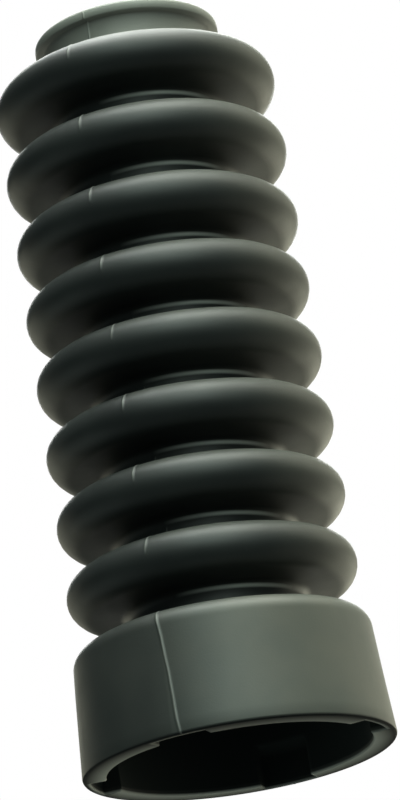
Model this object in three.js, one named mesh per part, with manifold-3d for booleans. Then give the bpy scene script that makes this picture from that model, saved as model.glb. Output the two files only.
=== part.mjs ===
// Fork gaiter: a one-piece moulded rubber bellows, standing on its wide cuff.
// Millimetres, +Z up along the bellows axis, cuff rim on z = 0, axis on x = y = 0.
// Azimuths are in degrees from -Y, positive towards +X.

import * as THREE from 'three';
import { mergeVertices } from 'three/addons/utils/BufferGeometryUtils.js';
import Module from 'manifold-3d';

// Cuff that stretches over the lower fork leg. It is widest at the rim, and its outside
// loses CUFF_TAPER of its radius on the way up to the shoulder.
const CUFF_RADIUS = 35.4;
const CUFF_TAPER = 1.5;
const CUFF_WALL = 5.4;
const CUFF_HEIGHT = 28.9;
const SHOULDER_RADIUS = 4;
const RIM_EDGE_RADIUS = 0.7;
const BORE_HEIGHT = 24;
const BORE_CORNER_RADIUS = 4;

// Folds, all of one thickness and one diameter.
const FOLD_COUNT = 8;
const FOLD_PITCH = 16.8;
const FOLD_THICKNESS = 11.2;
const FOLD_RADIUS = 33.1;
const CREST_RADIUS = 5.2;
const SKIN = 2;

// Grooves between the folds.
const ROOT_RADIUS = 20;
const ROOT_FILLET = 2;
const CUFF_GROOVE = 6.7;

// The relaxed moulding stands a little more open at its light upper end.
const OPEN_FOLDS = 2;
const OPENING_PER_FOLD = 0.9;

// Neck, where a clamp band sits under the lip.
const NECK_BORE_RADIUS = 17.25;
const NECK_WALL = 2.75;
const NECK_HEIGHT = 8.5;
const LIP_STEP = 1.8;
const LIP_HEIGHT = 2.5;
const LIP_EDGE_RADIUS = 0.8;

// Relief notches in the rim, opening into the cuff bore.
const NOTCH_AZIMUTHS = [-22, 67, 161, 259];
const NOTCH_ARC = 22;
const NOTCH_OUTER_WALL = 1.6;
const NOTCH_HEIGHT = 9;

// Flash of the two-part mould, up the cuff on the notched side and opposite it.
const FLASH_AZIMUTHS = [-22.5, 157.5];
const FLASH_WIDTH = 0.8;
const FLASH_HEIGHT = 0.4;

// Facets of a full turn, of a half-round crest and of a rounded corner.
const TURN_SEGMENTS = 40;
const CREST_STEPS = 4;
const INNER_CREST_STEPS = 3;
const SHOULDER_STEPS = 4;
const CORNER_STEPS = 2;
const FILLET_STEPS = 1;
const NOTCH_STEPS = 3;

// How far a cutting solid runs past the faces it cuts.
const OVERRUN = 2;

const BORE_RADIUS = CUFF_RADIUS - CUFF_WALL;
const CUFF_TOP_RADIUS = CUFF_RADIUS - CUFF_TAPER;
const SHOULDER_BASE_Z = CUFF_HEIGHT - SHOULDER_RADIUS;
const FIRST_CREST_Z = CUFF_HEIGHT + CUFF_GROOVE + FOLD_THICKNESS / 2;
const NECK_RADIUS = NECK_BORE_RADIUS + NECK_WALL;
const LIP_RADIUS = NECK_RADIUS + LIP_STEP;
const LAST_FOLD_TOP = crestZ(FOLD_COUNT - 1) + FOLD_THICKNESS / 2;
const LIP_BASE_Z = LAST_FOLD_TOP + NECK_HEIGHT;
const TOP_Z = LIP_BASE_Z + LIP_HEIGHT;

// Height of a fold's crest, counted from the cuff.
function crestZ(index) {
  const opened = Math.max(0, index - (FOLD_COUNT - 1 - OPEN_FOLDS));
  return FIRST_CREST_Z + index * FOLD_PITCH + opened * OPENING_PER_FOLD;
}

// Adds a circular arc to a profile, with angles in degrees from the outward radius.
function addArc(points, radius, height, arcRadius, fromDeg, toDeg, steps) {
  for (let i = 0; i <= steps; i += 1) {
    const angle = THREE.MathUtils.degToRad(fromDeg + (toDeg - fromDeg) * i / steps);
    const x = radius + arcRadius * Math.cos(angle);
    const y = height + arcRadius * Math.sin(angle);
    points.push(new THREE.Vector2(x, y));
  }
}

// Cuff from its rim to the top of its rounded shoulder.
function addCuff(points) {
  const edge = RIM_EDGE_RADIUS;
  addArc(points, CUFF_RADIUS - edge, edge, edge, -90, 0, CORNER_STEPS);
  const centre = CUFF_TOP_RADIUS - SHOULDER_RADIUS;
  addArc(points, centre, SHOULDER_BASE_Z, SHOULDER_RADIUS, 0, 90, SHOULDER_STEPS);
}

// Filleted bottom of the groove between two facing flanks.
function addGroove(points, lowZ, highZ) {
  const centre = ROOT_RADIUS + ROOT_FILLET;
  addArc(points, centre, lowZ + ROOT_FILLET, ROOT_FILLET, 270, 180, FILLET_STEPS);
  addArc(points, centre, highZ - ROOT_FILLET, ROOT_FILLET, 180, 90, FILLET_STEPS);
}

// Neck and the square-shouldered lip that keeps a clamp band on it.
function addNeck(points) {
  const centre = NECK_RADIUS + ROOT_FILLET;
  addArc(points, centre, LAST_FOLD_TOP + ROOT_FILLET, ROOT_FILLET, 270, 180, FILLET_STEPS);
  points.push(new THREE.Vector2(NECK_RADIUS, LIP_BASE_Z));
  points.push(new THREE.Vector2(LIP_RADIUS, LIP_BASE_Z));
  const edge = LIP_EDGE_RADIUS;
  addArc(points, LIP_RADIUS - edge, TOP_Z - edge, edge, 0, 90, CORNER_STEPS);
}

// Outer skin, from the rim up to the top of the lip.
function outerProfile() {
  const points = [];
  addCuff(points);
  let grooveZ = CUFF_HEIGHT;
  for (let fold = 0; fold < FOLD_COUNT; fold += 1) {
    const z = crestZ(fold);
    addGroove(points, grooveZ, z - FOLD_THICKNESS / 2);
    addArc(points, FOLD_RADIUS - CREST_RADIUS, z, CREST_RADIUS, -90, 90, CREST_STEPS);
    grooveZ = z + FOLD_THICKNESS / 2;
  }
  addNeck(points);
  return points;
}

// Inner skin, from the rim up to the mouth of the neck.
function innerProfile() {
  const points = [];
  const corner = BORE_CORNER_RADIUS;
  points.push(new THREE.Vector2(BORE_RADIUS, -OVERRUN));
  addArc(points, BORE_RADIUS - corner, BORE_HEIGHT - corner, corner, 0, 90, CORNER_STEPS);
  const innerRoot = ROOT_RADIUS - SKIN;
  const innerCrest = CREST_RADIUS - SKIN;
  const halfSlot = FOLD_THICKNESS / 2 - SKIN;
  points.push(new THREE.Vector2(innerRoot, BORE_HEIGHT));
  for (let fold = 0; fold < FOLD_COUNT; fold += 1) {
    const z = crestZ(fold);
    points.push(new THREE.Vector2(innerRoot, z - halfSlot));
    addArc(points, FOLD_RADIUS - CREST_RADIUS, z, innerCrest, -90, 90, INNER_CREST_STEPS);
    points.push(new THREE.Vector2(innerRoot, z + halfSlot));
  }
  points[points.length - 1].x = NECK_BORE_RADIUS;
  points.push(new THREE.Vector2(NECK_BORE_RADIUS, TOP_Z + OVERRUN));
  return points;
}

// Solid of revolution about Z from a profile, closed along the axis.
function turned(profile) {
  const low = new THREE.Vector2(0, profile[0].y);
  const high = new THREE.Vector2(0, profile[profile.length - 1].y);
  const geometry = new THREE.LatheGeometry([low, ...profile, high], TURN_SEGMENTS);
  geometry.rotateX(Math.PI / 2);
  return geometry;
}

// Sector of a ring that leaves only a thin outer wall of the rim.
function notchCutter(azimuth) {
  const half = THREE.MathUtils.degToRad(NOTCH_ARC / 2);
  const shape = new THREE.Shape();
  shape.absarc(0, 0, CUFF_RADIUS - NOTCH_OUTER_WALL, -half, half, false);
  shape.absarc(0, 0, BORE_RADIUS - OVERRUN, half, -half, true);
  const options = { depth: NOTCH_HEIGHT + OVERRUN, bevelEnabled: false, curveSegments: NOTCH_STEPS };
  const geometry = new THREE.ExtrudeGeometry(shape, options);
  geometry.translate(0, 0, -OVERRUN);
  geometry.rotateZ(THREE.MathUtils.degToRad(azimuth - 90));
  return geometry;
}

// Thin standing ridge up the sloping side of the cuff.
function flashRidge(azimuth) {
  const root = BORE_RADIUS + CUFF_WALL / 2;
  const shape = new THREE.Shape();
  shape.moveTo(root, RIM_EDGE_RADIUS);
  shape.lineTo(CUFF_RADIUS + FLASH_HEIGHT, RIM_EDGE_RADIUS);
  shape.lineTo(CUFF_TOP_RADIUS + FLASH_HEIGHT, SHOULDER_BASE_Z);
  shape.lineTo(root, SHOULDER_BASE_Z);
  shape.closePath();
  const geometry = new THREE.ExtrudeGeometry(shape, { depth: FLASH_WIDTH, bevelEnabled: false });
  geometry.translate(0, 0, -FLASH_WIDTH / 2);
  geometry.rotateX(Math.PI / 2);
  geometry.rotateZ(THREE.MathUtils.degToRad(azimuth - 90));
  return geometry;
}

// Turns a closed three.js geometry into a boolean solid.
function toSolid(wasm, geometry) {
  const bare = geometry.index ? geometry.clone() : geometry;
  bare.deleteAttribute('normal');
  bare.deleteAttribute('uv');
  const merged = mergeVertices(bare, 1e-4);
  const vertProperties = new Float32Array(merged.attributes.position.array);
  const triVerts = dropSlivers(merged.index.array);
  return new wasm.Manifold(new wasm.Mesh({ numProp: 3, vertProperties, triVerts }));
}

// Leaves out the triangles that collapse to a line where a profile meets the axis.
function dropSlivers(index) {
  const kept = [];
  for (let i = 0; i < index.length; i += 3) {
    const [a, b, c] = [index[i], index[i + 1], index[i + 2]];
    if (a !== b && b !== c && c !== a) {
      kept.push(a, b, c);
    }
  }
  return new Uint32Array(kept);
}

function toGeometry(solid) {
  const mesh = solid.getMesh();
  const geometry = new THREE.BufferGeometry();
  geometry.setAttribute('position', new THREE.BufferAttribute(mesh.vertProperties, mesh.numProp));
  geometry.setIndex(new THREE.BufferAttribute(mesh.triVerts, 1));
  geometry.computeVertexNormals();
  return geometry;
}

function buildBellows(wasm) {
  let solid = toSolid(wasm, turned(outerProfile()));
  for (const azimuth of FLASH_AZIMUTHS) {
    solid = solid.add(toSolid(wasm, flashRidge(azimuth)));
  }
  solid = solid.subtract(toSolid(wasm, turned(innerProfile())));
  for (const azimuth of NOTCH_AZIMUTHS) {
    solid = solid.subtract(toSolid(wasm, notchCutter(azimuth)));
  }
  return toGeometry(solid);
}

const wasm = await Module();
wasm.setup();

const rubber = new THREE.MeshStandardMaterial({ color: 0x24282a, roughness: 0.5, metalness: 0 });
const bellows = new THREE.Mesh(buildBellows(wasm), rubber);
bellows.name = 'bellows';

const gaiter = new THREE.Group();
gaiter.add(bellows);

export default gaiter;
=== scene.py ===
import math

import bmesh
import bpy
from mathutils import Matrix, Vector, noise


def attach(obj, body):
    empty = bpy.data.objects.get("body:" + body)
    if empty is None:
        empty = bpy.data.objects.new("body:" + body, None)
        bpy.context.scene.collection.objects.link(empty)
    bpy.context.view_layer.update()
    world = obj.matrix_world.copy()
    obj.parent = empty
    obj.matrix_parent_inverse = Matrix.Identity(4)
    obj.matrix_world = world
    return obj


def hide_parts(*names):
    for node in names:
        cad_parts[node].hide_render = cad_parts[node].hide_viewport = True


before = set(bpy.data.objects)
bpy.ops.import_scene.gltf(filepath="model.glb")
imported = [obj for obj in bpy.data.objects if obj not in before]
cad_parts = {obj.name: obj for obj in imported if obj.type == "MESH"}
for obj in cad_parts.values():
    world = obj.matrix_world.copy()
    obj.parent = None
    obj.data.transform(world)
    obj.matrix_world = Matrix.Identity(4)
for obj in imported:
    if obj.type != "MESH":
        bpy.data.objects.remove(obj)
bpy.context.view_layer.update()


# The gaiter's section: the skin of a fork boot from the rim of its cuff to the lip of its neck.
# It is one moulding of black rubber, thick at the cuff and thin at the folds, pressed in a split
# steel mould round a core. Sizes are in millimetres, as on the maker's drawing.

CUFF_RADIUS = 35.4
CUFF_TAPER = 1.5
CUFF_BORE = 30.0
CUFF_HEIGHT = 28.9
SHOULDER_RADIUS = 4.0
RIM_EDGE = 0.7
BORE_EDGE = 0.4
BORE_HEIGHT = 24.0
BORE_CORNER = 4.0
FOLD_COUNT = 8
FOLD_PITCH = 16.8
FOLD_THICKNESS = 11.2
FOLD_RADIUS = 33.1
CREST_RADIUS = 5.2
SKIN = 2.0
ROOT_RADIUS = 20.0
ROOT_FILLET = 2.0
CUFF_GROOVE = 6.7
OPEN_FOLDS = 2
OPENING_PER_FOLD = 0.9
NECK_BORE = 17.25
NECK_RADIUS = 20.0
NECK_HEIGHT = 8.5
LIP_RADIUS = 21.8
LIP_HEIGHT = 2.5
LIP_EDGE = 0.8
LIP_INNER_EDGE = 0.5
LIP_FOOT = 0.3

half_fold = FOLD_THICKNESS / 2


def crest_height(fold):
    opened = max(0, fold - (FOLD_COUNT - 1 - OPEN_FOLDS))
    first = CUFF_HEIGHT + CUFF_GROOVE + half_fold
    return first + fold * FOLD_PITCH + opened * OPENING_PER_FOLD


def arc(radius, height, arc_radius, start, end, steps):
    points = []
    for i in range(steps + 1):
        angle = math.radians(start + (end - start) * i / steps)
        outward = radius + arc_radius * math.cos(angle)
        points.append((outward, height + arc_radius * math.sin(angle)))
    return points


def straight(start, end, steps):
    points = []
    for i in range(1, steps):
        share = i / steps
        outward = start[0] + (end[0] - start[0]) * share
        points.append((outward, start[1] + (end[1] - start[1]) * share))
    return points


last_fold_top = crest_height(FOLD_COUNT - 1) + half_fold
lip_base = last_fold_top + NECK_HEIGHT
top_height = lip_base + LIP_HEIGHT
rim_joint = (CUFF_RADIUS - RIM_EDGE - 0.1, 0.0)
lip_joint = (LIP_RADIUS - LIP_EDGE - 0.1, top_height)


def outer_section():
    points = [rim_joint]
    points += arc(CUFF_RADIUS - RIM_EDGE, RIM_EDGE, RIM_EDGE, -90, 0, 4)
    shoulder_base = CUFF_HEIGHT - SHOULDER_RADIUS
    cuff_top = CUFF_RADIUS - CUFF_TAPER
    points += straight((CUFF_RADIUS, RIM_EDGE), (cuff_top, shoulder_base), 9)
    points += arc(cuff_top - SHOULDER_RADIUS, shoulder_base, SHOULDER_RADIUS, 0, 90, 10)
    groove = CUFF_HEIGHT
    for fold in range(FOLD_COUNT):
        height = crest_height(fold)
        fillet = ROOT_RADIUS + ROOT_FILLET
        points += arc(fillet, groove + ROOT_FILLET, ROOT_FILLET, 270, 180, 4)
        points += arc(fillet, height - half_fold - ROOT_FILLET, ROOT_FILLET, 180, 90, 4)
        points += arc(FOLD_RADIUS - CREST_RADIUS, height, CREST_RADIUS, -90, 90, 14)
        groove = height + half_fold
    points += arc(NECK_RADIUS + ROOT_FILLET, groove + ROOT_FILLET, ROOT_FILLET, 270, 180, 4)
    points += [(NECK_RADIUS, lip_base - LIP_FOOT), (NECK_RADIUS + LIP_FOOT, lip_base)]
    points += [(LIP_RADIUS - LIP_FOOT, lip_base), (LIP_RADIUS, lip_base + LIP_FOOT)]
    points += arc(LIP_RADIUS - LIP_EDGE, top_height - LIP_EDGE, LIP_EDGE, 0, 90, 5)
    points += [lip_joint]
    return points


def inner_section():
    points = [rim_joint]
    points += arc(CUFF_BORE + BORE_EDGE, BORE_EDGE, BORE_EDGE, 270, 180, 3)
    points += straight((CUFF_BORE, BORE_EDGE), (CUFF_BORE, BORE_HEIGHT - BORE_CORNER), 20)
    points += arc(CUFF_BORE - BORE_CORNER, BORE_HEIGHT - BORE_CORNER, BORE_CORNER, 0, 90, 4)
    inner_root = ROOT_RADIUS - SKIN
    slot = half_fold - SKIN
    points += [(inner_root + 1.0, BORE_HEIGHT), (inner_root, BORE_HEIGHT + 1.0)]
    for fold in range(FOLD_COUNT):
        height = crest_height(fold)
        root = inner_root
        points += [(root, height - slot - 1.0), (root + 1.0, height - slot)]
        points += arc(FOLD_RADIUS - CREST_RADIUS, height, CREST_RADIUS - SKIN, -90, 90, 6)
        if fold == FOLD_COUNT - 1:
            root = NECK_BORE
        points += [(root + 1.0, height + slot), (root, height + slot + 1.0)]
    points += [(NECK_BORE, top_height - LIP_INNER_EDGE)]
    points += [(NECK_BORE + LIP_INNER_EDGE, top_height), lip_joint]
    return points


# The turned skin: each section is spun round the axis, with finer stations at the notches' ends
# and at the mould's two split lines, and the outer and inner skins meet on the rim and the lip.

NOTCH_AZIMUTHS = (-22.0, 67.0, 161.0, 259.0)
NOTCH_HALF_ARC = 11.0
NOTCH_END_SLOPE = 0.9
NOTCH_OUTER_WALL = 1.6
NOTCH_HEIGHT = 9.0
SPLIT_AZIMUTHS = (-22.5, 157.5)
FLASH_HALF_WIDTH = 0.55
FLASH_CREST_HALF_WIDTH = 0.20
FLASH_FOOT = 1.1
FLASH_HEIGHT = 0.28
FLASH_REACH = 10.0
STATION_STEP = 1.5


def stations():
    stops = set()
    for azimuth in NOTCH_AZIMUTHS:
        for offset in (-NOTCH_HALF_ARC - NOTCH_END_SLOPE, -NOTCH_HALF_ARC, NOTCH_HALF_ARC):
            stops.add(round((azimuth + offset) % 360, 3))
        stops.add(round((azimuth + NOTCH_HALF_ARC + NOTCH_END_SLOPE) % 360, 3))
    for azimuth in SPLIT_AZIMUTHS:
        for offset in (FLASH_CREST_HALF_WIDTH, FLASH_HALF_WIDTH, FLASH_FOOT):
            stops.add(round((azimuth + offset) % 360, 3))
            stops.add(round((azimuth - offset) % 360, 3))
    return sorted(stops)


def azimuth_of(point):
    return math.degrees(math.atan2(point.x, -point.y))


def turn(azimuth, centre):
    return (azimuth - centre + 180.0) % 360.0 - 180.0


def spin_section(section):
    skin = bmesh.new()
    stops = stations()
    start = math.radians(stops[0])
    ring = []
    for radius, height in section:
        ring.append(skin.verts.new((radius * math.sin(start), -radius * math.cos(start), height)))
    last = list(ring)
    for low, high in zip(ring, ring[1:]):
        last.append(skin.edges.new((low, high)))
    for here, there in zip(stops, stops[1:] + [stops[0] + 360.0]):
        steps = max(1, round((there - here) / STATION_STEP))
        swept = bmesh.ops.spin(skin, geom=last, axis=(0, 0, 1), cent=(0, 0, 0),
                               angle=math.radians(there - here), steps=steps)
        last = swept["geom_last"]
    bmesh.ops.remove_doubles(skin, verts=skin.verts, dist=0.01)
    return skin


# Flash: the mould's halves leave a thin raised line up both sides. It runs at a slant up the
# cuff and shows only on the crests of the folds, where it was trimmed by hand. Its height is
# kept on the mesh, so that a painted highlight can follow the line.

SEAM_START = 0.061
SEAM_SLANT = 0.075
SEAM_SLANT_HEIGHT = 28.0
SEAM_DRIFT = 0.016
SEAM_DRIFT_HEIGHT = 32.0
SEAM_WANDER = 0.010
SEAM_RAGGED = 0.003
TRIM_START = 2.0
TRIM_SPAN = 20.0


def split_swing(split, height):
    wander = SEAM_WANDER * noise.noise(Vector((split, 5.0, height * 0.12)))
    ragged = SEAM_RAGGED * noise.noise(Vector((split, 9.0, height * 0.9)))
    slant = SEAM_START - SEAM_SLANT * min(1.0, height / SEAM_SLANT_HEIGHT)
    drift = SEAM_DRIFT * min(1.0, max(0.0, height - SEAM_SLANT_HEIGHT) / SEAM_DRIFT_HEIGHT)
    return slant - drift + wander + ragged


def follow_split(vert):
    for split in SPLIT_AZIMUTHS:
        offset = abs(turn(azimuth_of(vert.co), split))
        if offset < FLASH_REACH:
            swing = split_swing(split, vert.co.z) * (1.0 - offset / FLASH_REACH)
            x, y = vert.co.x, vert.co.y
            vert.co.x = x * math.cos(swing) - y * math.sin(swing)
            vert.co.y = x * math.sin(swing) + y * math.cos(swing)
            return


outer = spin_section(outer_section())
flash_mark = outer.verts.layers.float.new("flash")
for vert in outer.verts:
    radius = math.hypot(vert.co.x, vert.co.y)
    height = vert.co.z
    fold = min(FOLD_COUNT - 1, max(0, round((height - crest_height(0)) / FOLD_PITCH)))
    past_centre = radius - FOLD_RADIUS + CREST_RADIUS
    leaning = math.degrees(math.atan2(height - crest_height(fold), past_centre))
    trimmed = min(1.0, max(0.0, (leaning - TRIM_START) / TRIM_SPAN))
    if height < CUFF_HEIGHT:
        trimmed = 1.0
    for split in SPLIT_AZIMUTHS:
        offset = abs(turn(azimuth_of(vert.co), split))
        if offset < FLASH_CREST_HALF_WIDTH * 1.2 and 0.01 < height < top_height - 0.01:
            vert[flash_mark] = trimmed
            ragged = 0.75 + 0.5 * noise.noise(Vector((split, 0.0, height * 0.35)))
            swell = 1.0 + trimmed * FLASH_HEIGHT * ragged / radius
            vert.co.x *= swell
            vert.co.y *= swell
    follow_split(vert)

# Notches: ribs on the mould's core leave four relief notches in the bore at the rim, with only
# a thin outer wall left, and their ends slope a little so that the core can be drawn out.

inner = spin_section(inner_section())
floor_radius = CUFF_RADIUS - NOTCH_OUTER_WALL
for vert in inner.verts:
    radius = math.hypot(vert.co.x, vert.co.y)
    if vert.co.z < NOTCH_HEIGHT and radius < floor_radius:
        azimuth = azimuth_of(vert.co)
        nearest = min(abs(turn(azimuth, notch)) for notch in NOTCH_AZIMUTHS)
        if nearest < NOTCH_HALF_ARC + 0.1:
            vert.co.x *= floor_radius / radius
            vert.co.y *= floor_radius / radius
    on_rim_joint = vert.co.z < 0.01 and radius > floor_radius
    on_lip_joint = vert.co.z > top_height - 0.01 and radius > NECK_RADIUS
    if on_rim_joint or on_lip_joint:
        follow_split(vert)

# Marks: both skins are joined into one closed wall. It keeps on its mesh where the bore, the
# inner edge of the rim (worn pale, with painted light) and the painted highlight line deep in
# each groove are.

GROOVE_HIGHLIGHT_ANGLE = 22.5

joined = bpy.data.meshes.new("gaiter_inner")
inner.to_mesh(joined)
inner.free()
bore_mark = outer.verts.layers.float.new("bore")
rubbed_mark = outer.verts.layers.float.new("rim_edge_wear_and_light")
groove_highlight_mark = outer.verts.layers.float.new("root")
outside = set(outer.verts)
outer.from_mesh(joined)
bpy.data.meshes.remove(joined)
# Painted highlight: a pale line is painted on the upper fillet of each groove root, at this
# angle.
under_root = half_fold + ROOT_FILLET * (1.0 - math.sin(math.radians(GROOVE_HIGHLIGHT_ANGLE)))
root_heights = [crest_height(fold) - under_root for fold in range(FOLD_COUNT)]
for vert in outer.verts:
    radius = math.hypot(vert.co.x, vert.co.y)
    if vert not in outside:
        near_rim = vert.co.z < BORE_EDGE + 0.2 and radius < rim_joint[0] - 0.3
        vert[rubbed_mark] = 1.0 if near_rim else 0.0
        vert[bore_mark] = 1.0 if BORE_EDGE + 0.2 < vert.co.z < top_height - 0.2 else 0.0
    elif radius < ROOT_RADIUS + 0.3:
        off_line = min(abs(vert.co.z - height) for height in root_heights)
        vert[groove_highlight_mark] = 1.0 if off_line < 0.2 else 0.0
bmesh.ops.remove_doubles(outer, verts=outer.verts, dist=0.02)
bmesh.ops.recalc_face_normals(outer, faces=outer.faces)

# Relaxed rubber is never quite true: the folds lean and swell by a few tenths of a millimetre,
# but hardly at the thick rim and at the lip.

SWELL = 0.18
LEAN = 0.30
RIM_HOLD = 20.0
LIP_HOLD = 8.0

for vert in outer.verts:
    direction = Vector((vert.co.x, vert.co.y, 0.0)).normalized()
    slow = noise.noise(Vector((direction.x, direction.y, vert.co.z * 0.04)) * 1.3)
    lift = noise.noise(Vector((direction.x * 0.9, direction.y * 0.9, vert.co.z * 0.03 + 7.0)))
    above_rim = min(1.0, vert.co.z / RIM_HOLD)
    settle = above_rim * min(1.0, max(0.0, top_height - vert.co.z) / LIP_HOLD)
    vert.co += direction * slow * SWELL * settle
    vert.co.z += lift * LEAN * settle

bmesh.ops.scale(outer, vec=(0.001, 0.001, 0.001), verts=outer.verts)
gaiter_mesh = bpy.data.meshes.new("gaiter")
outer.to_mesh(gaiter_mesh)
outer.free()
gaiter_mesh.shade_smooth()
gaiter = bpy.data.objects.new("gaiter", gaiter_mesh)
bpy.context.scene.collection.objects.link(gaiter)
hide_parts("bellows")
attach(gaiter, "root")

# Rubber finish: black, satin from the mould's polished steel, under a cloudy grey-green bloom.
# Painted light lightens what faces up, the cuff, the neck and the lip, mostly on one side of the
# seam, where the mould halves' tone also steps, and the +X side is lighter and warmer. The rim's
# inner edge is worn pale, with painted light making it paler towards the back, a painted
# highlight line runs along the front of each groove, the bore stays matt black, and the flash
# line carries a painted highlight.

SEAM_X = 0.924
SEAM_Y = -0.383
# Pale colour of the rim's worn inner edge, also carrying painted light.
RUBBED_AND_LIT_COLOUR = (0.500, 0.506, 0.460, 1.0)
RIM_COLOUR = (0.006, 0.007, 0.007, 1.0)
# Colour of the painted highlight line in the grooves.
GROOVE_HIGHLIGHT_COLOUR = (0.560, 0.580, 0.540, 1.0)
BORE_COLOUR = (0.016, 0.021, 0.020, 1.0)
# Painted highlight colour for the flash line.
FLASH_HIGHLIGHT_COLOUR = (0.150, 0.154, 0.142, 1.0)

rubber = bpy.data.materials.new("moulded_rubber")
rubber.use_nodes = True
nodes = rubber.node_tree.nodes
links = rubber.node_tree.links
shader = nodes["Principled BSDF"]
shader.inputs["Metallic"].default_value = 0.0
shader.inputs["Specular IOR Level"].default_value = 0.5
place = nodes.new("ShaderNodeTexCoord")


def rubber_noise(scale, detail, roughness):
    cloud = nodes.new("ShaderNodeTexNoise")
    cloud.inputs["Scale"].default_value = scale
    cloud.inputs["Detail"].default_value = detail
    cloud.inputs["Roughness"].default_value = roughness
    links.new(place.outputs["Object"], cloud.inputs["Vector"])
    return cloud.outputs["Fac"]


def ranged(value, low, high, to_low, to_high):
    fit = nodes.new("ShaderNodeMapRange")
    fit.inputs["From Min"].default_value = low
    fit.inputs["From Max"].default_value = high
    fit.inputs["To Min"].default_value = to_low
    fit.inputs["To Max"].default_value = to_high
    links.new(value, fit.inputs["Value"])
    return fit.outputs["Result"]


def tinted(share, below, above):
    mix = nodes.new("ShaderNodeMix")
    mix.data_type = "RGBA"
    links.new(share, mix.inputs["Factor"])
    for socket, value in ((mix.inputs[6], below), (mix.inputs[7], above)):
        if isinstance(value, tuple):
            socket.default_value = value
        else:
            links.new(value, socket)
    return mix.outputs[2]


def combined(operation, first, second):
    step = nodes.new("ShaderNodeMath")
    step.operation = operation
    for socket, value in zip(step.inputs, (first, second)):
        if isinstance(value, float):
            socket.default_value = value
        else:
            links.new(value, socket)
    return step.outputs["Value"]


bloom = ranged(rubber_noise(38.0, 3.0, 0.55), 0.35, 0.70, 0.0, 1.0)
clean_colour = tinted(bloom, (0.009, 0.011, 0.011, 1.0), (0.017, 0.020, 0.019, 1.0))
# Lighter, warmer rubber colour used towards the +X side.
right_side_colour = tinted(bloom, (0.034, 0.035, 0.029, 1.0), (0.056, 0.057, 0.047, 1.0))
# Painted top light: the lighter colour given to surfaces that face up.
top_light_colour = tinted(bloom, (0.050, 0.053, 0.047, 1.0), (0.085, 0.088, 0.078, 1.0))
# Painted light on the cuff.
cuff_painted_light_colour = tinted(bloom, (0.060, 0.067, 0.060, 1.0), (0.088, 0.088, 0.074, 1.0))
# Painted light on the neck and the lip.
neck_painted_light_colour = tinted(bloom, (0.135, 0.137, 0.124, 1.0), (0.172, 0.174, 0.156, 1.0))
lip_painted_light_colour = tinted(bloom, (0.165, 0.170, 0.154, 1.0), (0.225, 0.230, 0.206, 1.0))
where = nodes.new("ShaderNodeSeparateXYZ")
links.new(place.outputs["Object"], where.inputs["Vector"])
on_cuff = ranged(where.outputs["Z"], 0.029, 0.033, 1.0, 0.0)
on_neck = ranged(where.outputs["Z"], 0.1655, 0.1675, 0.0, 1.0)
on_lip = ranged(where.outputs["Z"], 0.1745, 0.1750, 0.0, 1.0)
seam_from_x = combined("MULTIPLY", where.outputs["X"], SEAM_X)
seam_from_y = combined("MULTIPLY", where.outputs["Y"], SEAM_Y)
across = combined("ADD", seam_from_x, seam_from_y)
# Lighter past the seam and towards the right: partly the mould halves' tone, partly painted
# light.
past_seam = ranged(across, -0.0002, 0.0002, 0.60, 1.0)
seam_side_tone_and_light = combined("MULTIPLY", past_seam, ranged(across, -0.004, 0.014, 0.35, 1.0))
# Painted top light: lighter where the surface's normal points up.
facing_up = nodes.new("ShaderNodeSeparateXYZ")
links.new(place.outputs["Normal"], facing_up.inputs["Vector"])
top_light_share = ranged(facing_up.outputs["Z"], 0.42, 0.88, 0.0, 1.0)
on_rim = ranged(where.outputs["Z"], 0.0002, 0.0006, 1.0, 0.0)
rubbed_edge = nodes.new("ShaderNodeAttribute")
rubbed_edge.attribute_name = "rim_edge_wear_and_light"
# Painted light: the worn inner edge is paler towards the back.
far_side_painted_light = ranged(where.outputs["Y"], -0.034, 0.002, 0.25, 1.0)
rim_edge_wear_and_light = combined("MULTIPLY", far_side_painted_light, rubbed_edge.outputs["Fac"])
groove_highlight_node = nodes.new("ShaderNodeAttribute")
groove_highlight_node.attribute_name = "root"
# Lighter towards the +X side.
right_side_share = ranged(where.outputs["X"], 0.014, 0.036, 0.0, 1.0)
in_bore = nodes.new("ShaderNodeAttribute")
in_bore.attribute_name = "bore"
rim_colour = tinted(rim_edge_wear_and_light, RIM_COLOUR, RUBBED_AND_LIT_COLOUR)
body_colour = tinted(right_side_share, clean_colour, right_side_colour)
# Painted highlight: the pale groove line, shown at the front and past the seam only.
groove_highlight_share = ranged(groove_highlight_node.outputs["Fac"], 0.2, 0.8, 0.0, 1.0)
groove_highlight_share = combined("MULTIPLY", groove_highlight_share, ranged(across, -0.001, 0.012, 0.0, 1.0))
painted_groove_highlight = combined("MULTIPLY", groove_highlight_share, ranged(where.outputs["Y"], -0.019, -0.010, 1.0, 0.0))
body_colour = tinted(painted_groove_highlight, body_colour, GROOVE_HIGHLIGHT_COLOUR)
body_colour = tinted(combined("MULTIPLY", top_light_share, seam_side_tone_and_light), body_colour, top_light_colour)
body_colour = tinted(combined("MULTIPLY", on_cuff, seam_side_tone_and_light), body_colour, cuff_painted_light_colour)
body_colour = tinted(combined("SUBTRACT", on_neck, top_light_share), body_colour, neck_painted_light_colour)
body_colour = tinted(combined("SUBTRACT", on_lip, top_light_share), body_colour, lip_painted_light_colour)
body_colour = tinted(on_rim, body_colour, rim_colour)
body_colour = tinted(in_bore.outputs["Fac"], body_colour, BORE_COLOUR)
flash_line = nodes.new("ShaderNodeAttribute")
flash_line.attribute_name = "flash"
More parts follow.
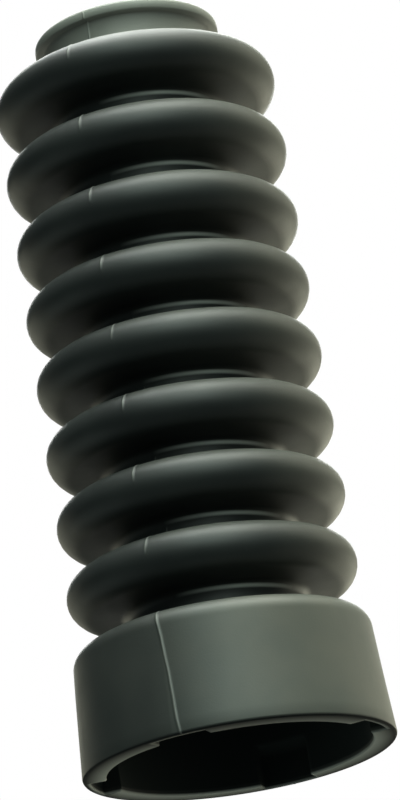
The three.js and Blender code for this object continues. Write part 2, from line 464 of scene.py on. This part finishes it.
# Painted highlight along the flash line.
flash_highlight_share = ranged(flash_line.outputs["Fac"], 0.0, 1.0, 0.0, 0.7)
links.new(tinted(flash_highlight_share, body_colour, FLASH_HIGHLIGHT_COLOUR), shader.inputs["Base Color"])
satin = ranged(rubber_noise(60.0, 4.0, 0.6), 0.3, 0.7, 0.46, 0.56)
matt = combined("MAXIMUM", on_rim, in_bore.outputs["Fac"])
links.new(combined("MAXIMUM", satin, matt), shader.inputs["Roughness"])
grain = nodes.new("ShaderNodeBump")
grain.inputs["Strength"].default_value = 0.25
grain.inputs["Distance"].default_value = 0.00006
links.new(rubber_noise(2600.0, 2.0, 0.5), grain.inputs["Height"])
links.new(grain.outputs["Normal"], shader.inputs["Normal"])
gaiter_mesh.materials.append(rubber)


# The stand: a plain pale floor. It shows from above only, and it is open under the rim, because
# the photograph looks up at the rim's end face from below.

FLOOR_SPAN = 1.6
FLOOR_HOLE = 0.0352
BORE_FLOOR = 0.0298
FLOOR_SEGMENTS = 96

floor_shape = bmesh.new()
bmesh.ops.create_circle(floor_shape, cap_ends=False, radius=FLOOR_HOLE, segments=FLOOR_SEGMENTS)
rim_edges = floor_shape.edges[:]
spread = bmesh.ops.extrude_edge_only(floor_shape, edges=rim_edges)
far_verts = [item for item in spread["geom"] if isinstance(item, bmesh.types.BMVert)]
widening = FLOOR_SPAN / FLOOR_HOLE
bmesh.ops.scale(floor_shape, vec=(widening, widening, 1.0), verts=far_verts)
bmesh.ops.create_circle(floor_shape, cap_ends=True, radius=BORE_FLOOR, segments=FLOOR_SEGMENTS)
for face in floor_shape.faces:
    if face.normal.z < 0:
        face.normal_flip()
floor_mesh = bpy.data.meshes.new("floor")
floor_shape.to_mesh(floor_mesh)
floor_shape.free()
floor = bpy.data.objects.new("floor", floor_mesh)
bpy.context.scene.collection.objects.link(floor)
floor.visible_diffuse = False
floor.visible_glossy = False
floor.visible_shadow = False

floor_paint = bpy.data.materials.new("floor_paint")
floor_paint.use_nodes = True
paint_nodes = floor_paint.node_tree.nodes
paint_links = floor_paint.node_tree.links
paint = paint_nodes["Principled BSDF"]
paint.inputs["Base Color"].default_value = (0.30, 0.30, 0.30, 1.0)
paint.inputs["Emission Color"].default_value = (0.86, 0.86, 0.85, 1.0)
paint.inputs["Emission Strength"].default_value = 1.0
paint.inputs["Roughness"].default_value = 0.8
side = paint_nodes.new("ShaderNodeNewGeometry")
clear = paint_nodes.new("ShaderNodeBsdfTransparent")
one_way = paint_nodes.new("ShaderNodeMixShader")
paint_links.new(side.outputs["Backfacing"], one_way.inputs["Fac"])
paint_links.new(paint.outputs["BSDF"], one_way.inputs[1])
paint_links.new(clear.outputs["BSDF"], one_way.inputs[2])
paint_links.new(one_way.outputs["Shader"], paint_nodes["Material Output"].inputs["Surface"])
floor_mesh.materials.append(floor_paint)


# The studio: big soft boxes straight above, to the front right and behind, smaller fills round
# the right and below, and a plain white room that only the camera sees at full strength.

ROOM_TINT = (0.80, 1.0, 0.98, 1.0)
ROOM_GLOW = 0.07
ROOM_SEEN = 1.0

world = bpy.data.worlds.new("studio")
bpy.context.scene.world = world
world.use_nodes = True
sky_nodes = world.node_tree.nodes
sky_links = world.node_tree.links
sky = sky_nodes["Background"]
ray = sky_nodes.new("ShaderNodeLightPath")
room = sky_nodes.new("ShaderNodeMix")
room.data_type = "RGBA"
room.inputs[6].default_value = ROOM_TINT
room.inputs[7].default_value = (1.0, 1.0, 1.0, 1.0)
sky_links.new(ray.outputs["Is Camera Ray"], room.inputs["Factor"])
sky_links.new(room.outputs[2], sky.inputs["Color"])
seen = sky_nodes.new("ShaderNodeMix")
sky_links.new(ray.outputs["Is Camera Ray"], seen.inputs["Factor"])
seen.inputs[2].default_value = ROOM_GLOW
seen.inputs[3].default_value = ROOM_SEEN
sky_links.new(seen.outputs[0], sky.inputs["Strength"])

LAMP_DISTANCE = 0.9
LAMP_SIZE = 0.6
LAMP_AIM = Vector((0.0, 0.0, 0.09))


def soft_box(name, azimuth, elevation, power, colour):
    lamp = bpy.data.lights.new(name, "AREA")
    lamp.shape = "SQUARE"
    lamp.size = LAMP_SIZE
    lamp.energy = power
    lamp.color = colour
    box = bpy.data.objects.new(name, lamp)
    around = math.radians(azimuth)
    up = math.radians(elevation)
    level = math.cos(up)
    offset = Vector((math.sin(around) * level, -math.cos(around) * level, math.sin(up)))
    box.location = LAMP_AIM + offset * LAMP_DISTANCE
    box.rotation_euler = offset.to_track_quat("Z", "Y").to_euler()
    box.visible_camera = False
    bpy.context.scene.collection.objects.link(box)


NEUTRAL = (0.96, 1.0, 0.96)
GREENISH = (0.82, 1.0, 0.90)
WARM = (1.0, 0.99, 0.77)
KEY_TINT = (0.94, 1.0, 0.84)
RIGHT_TINT = (0.95, 1.0, 0.87)
soft_box("top_box", 0.0, 88.0, 11.5, NEUTRAL)
soft_box("front_high", 0.0, 62.0, 3.4, GREENISH)
soft_box("key_box", 45.0, 62.0, 6.0, KEY_TINT)
soft_box("right_high", 90.0, 62.0, 1.4, RIGHT_TINT)
soft_box("rear_high", 180.0, 62.0, 6.0, NEUTRAL)
soft_box("front_fill", 0.0, 32.0, 2.4, GREENISH)
soft_box("right_fill", 100.0, 32.0, 1.6, WARM)
soft_box("right_rear_high", 140.0, 32.0, 0.9, WARM)
soft_box("rear_fill", 180.0, 32.0, 9.0, NEUTRAL)
soft_box("front_low", 15.0, 18.0, 2.2, GREENISH)
soft_box("right_rear", 120.0, 2.0, 1.0, WARM)
soft_box("backdrop_right", 160.0, 2.0, 1.1, WARM)
soft_box("backdrop_left", -150.0, -4.0, 1.2, WARM)
soft_box("left_low", -100.0, -32.0, 0.5, GREENISH)
soft_box("right_under", 100.0, -32.0, 0.6, WARM)
soft_box("right_low", 150.0, -16.0, 2.1, WARM)
soft_box("floor_bounce", 0.0, -80.0, 0.25, GREENISH)


# The camera: a long lens a little below the rim, held at a slant, so that the gaiter leans to
# the left and its open cuff shows.

CAMERA_BACK = 0.7960
CAMERA_DROP = 0.1842
CAMERA_AIM = (0.0038, 0.0, 0.0848)
CAMERA_ROLL = 9.13
LENS = 164.8

camera_data = bpy.data.cameras.new("camera")
camera_data.lens = LENS
camera_data.sensor_width = 36.0
camera_data.dof.use_dof = False
camera = bpy.data.objects.new("camera", camera_data)
camera.location = (0.0, -CAMERA_BACK, -CAMERA_DROP)
facing = (camera.location - Vector(CAMERA_AIM)).to_track_quat("Z", "Y").to_matrix().to_4x4()
camera.rotation_euler = (facing @ Matrix.Rotation(math.radians(-CAMERA_ROLL), 4, "Z")).to_euler()
bpy.context.scene.collection.objects.link(camera)
bpy.context.scene.camera = camera
bpy.context.scene.view_settings.view_transform = "Standard"
